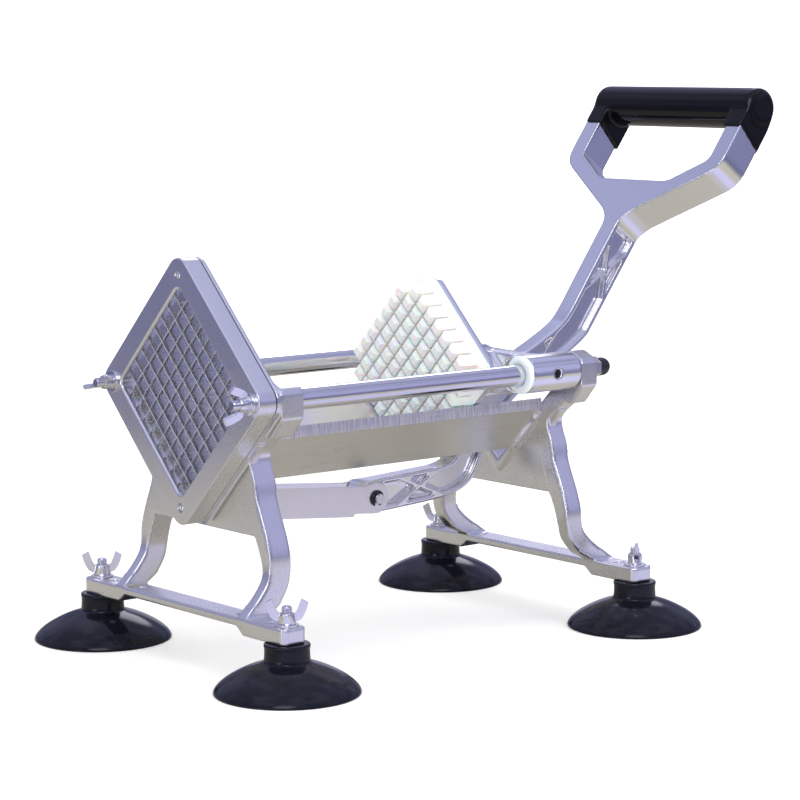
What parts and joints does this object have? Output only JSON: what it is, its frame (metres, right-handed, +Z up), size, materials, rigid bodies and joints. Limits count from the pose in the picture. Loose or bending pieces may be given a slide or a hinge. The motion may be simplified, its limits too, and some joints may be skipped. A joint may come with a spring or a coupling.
{
  "type": "french fry cutter",
  "caption": "Bench-top fry cutter: a D-handled lever drives a pegged pusher along guide rods through a V-shaped bed against a square blade grid, on suction-cup feet.",
  "frame": {"origin": "on the bench under the middle of the machine's length and width", "axes": "+X to the right seen from the cutting head, +Y from the cutting head towards the handle, +Z up"},
  "size_m": [0.2652, 0.4528, 0.3261],
  "materials": {
    "cast_aluminium": "satin tumbled casting",
    "holder_aluminium": "fine satin, edges polished",
    "bed_plate": "satin rolled plate",
    "link_aluminium": "satin rolled plate",
    "weld_metal": "as welded",
    "rod_steel": "ground and polished",
    "blade_steel": "ground",
    "pin_steel": "ground",
    "bright_hardware": "bright plated",
    "dark_steel": "black oxide",
    "pusher_nylon": "moulded, slightly waxy",
    "bush_nylon": "turned, translucent white",
    "grip_gloss": "high gloss",
    "cup_rubber": "glossy moulded rubber"
  },
  "bodies": {
    "root": {"front_casting": "cast_aluminium", "rear_casting": "cast_aluminium", "trough": "bed_plate", "trough_welds": "weld_metal", "guide_rod_left": "rod_steel", "guide_rod_right": "rod_steel", "rod_cap_nuts": "dark_steel", "rod_washers": "bright_hardware", "blade_holder": "holder_aluminium", "blades_rising": "blade_steel", "blades_falling": "blade_steel", "holder_screws": "bright_hardware", "head_washers": "bright_hardware", "anchor_pin": "pin_steel", "anchor_clips": "dark_steel", "suction_cup_front_left": "cup_rubber", "suction_cup_front_right": "cup_rubber", "suction_cup_rear_left": "cup_rubber", "suction_cup_rear_right": "cup_rubber", "cup_studs": "bright_hardware", "foot_washers": "bright_hardware"},
    "carriage": {"carriage_casting": "cast_aluminium", "rod_bush_left": "bush_nylon", "rod_bush_right": "bush_nylon", "pusher_block": "pusher_nylon", "pusher_screws": "bright_hardware", "pivot_pin": "pin_steel", "pivot_set_screw": "dark_steel"},
    "lever": {"lever": "cast_aluminium", "grip": "grip_gloss"},
    "link": {"link": "link_aluminium", "link_pin": "pin_steel", "link_clips": "dark_steel"},
    "wing_nut_head_left": {"wing_nut_head_left": "bright_hardware"},
    "wing_nut_front_left": {"wing_nut_front_left": "bright_hardware"},
    "wing_nut_rear_left": {"wing_nut_rear_left": "bright_hardware"},
    "wing_nut_head_right": {"wing_nut_head_right": "bright_hardware"},
    "wing_nut_front_right": {"wing_nut_front_right": "bright_hardware"},
    "wing_nut_rear_right": {"wing_nut_rear_right": "bright_hardware"}
  },
  "joints": [
    {"name": "carriage_slide", "type": "slide", "parent": "root", "child": "carriage", "axis": [0, -1, 0], "range_m": [0, 0.166]},
    {"name": "lever_swing", "type": "hinge", "parent": "carriage", "child": "lever", "pos_m": [0, 0.02735, 0.1583], "axis": [1, 0, 0], "range_deg": [0, 96.27]},
    {"name": "link_swing", "type": "hinge", "parent": "lever", "child": "link", "pos_m": [0, -0.05565, 0.0839], "axis": [1, 0, 0], "range_deg": [-96.27, 0]},
    {"name": "wing_nut_head_left_turn", "type": "hinge", "parent": "root", "child": "wing_nut_head_left", "pos_m": [-0.067, -0.19565, 0.1583], "axis": [0, -1, 0], "continuous": true},
    {"name": "wing_nut_front_left_turn", "type": "hinge", "parent": "root", "child": "wing_nut_front_left", "pos_m": [-0.0913, -0.18515, 0.0416], "axis": [0, 0, 1], "continuous": true},
    {"name": "wing_nut_rear_left_turn", "type": "hinge", "parent": "root", "child": "wing_nut_rear_left", "pos_m": [-0.0913, 0.08245, 0.0416], "axis": [0, 0, 1], "continuous": true},
    {"name": "wing_nut_head_right_turn", "type": "hinge", "parent": "root", "child": "wing_nut_head_right", "pos_m": [0.067, -0.19565, 0.1583], "axis": [0, -1, 0], "continuous": true},
    {"name": "wing_nut_front_right_turn", "type": "hinge", "parent": "root", "child": "wing_nut_front_right", "pos_m": [0.0913, -0.18515, 0.0416], "axis": [0, 0, 1], "continuous": true},
    {"name": "wing_nut_rear_right_turn", "type": "hinge", "parent": "root", "child": "wing_nut_rear_right", "pos_m": [0.0913, 0.08245, 0.0416], "axis": [0, 0, 1], "continuous": true}
  ],
  "couplings": [
    {"joint": "lever_swing", "follows": "carriage_slide", "rad_per_m": 10.12},
    {"joint": "link_swing", "follows": "carriage_slide", "rad_per_m": -10.12}
  ]
}
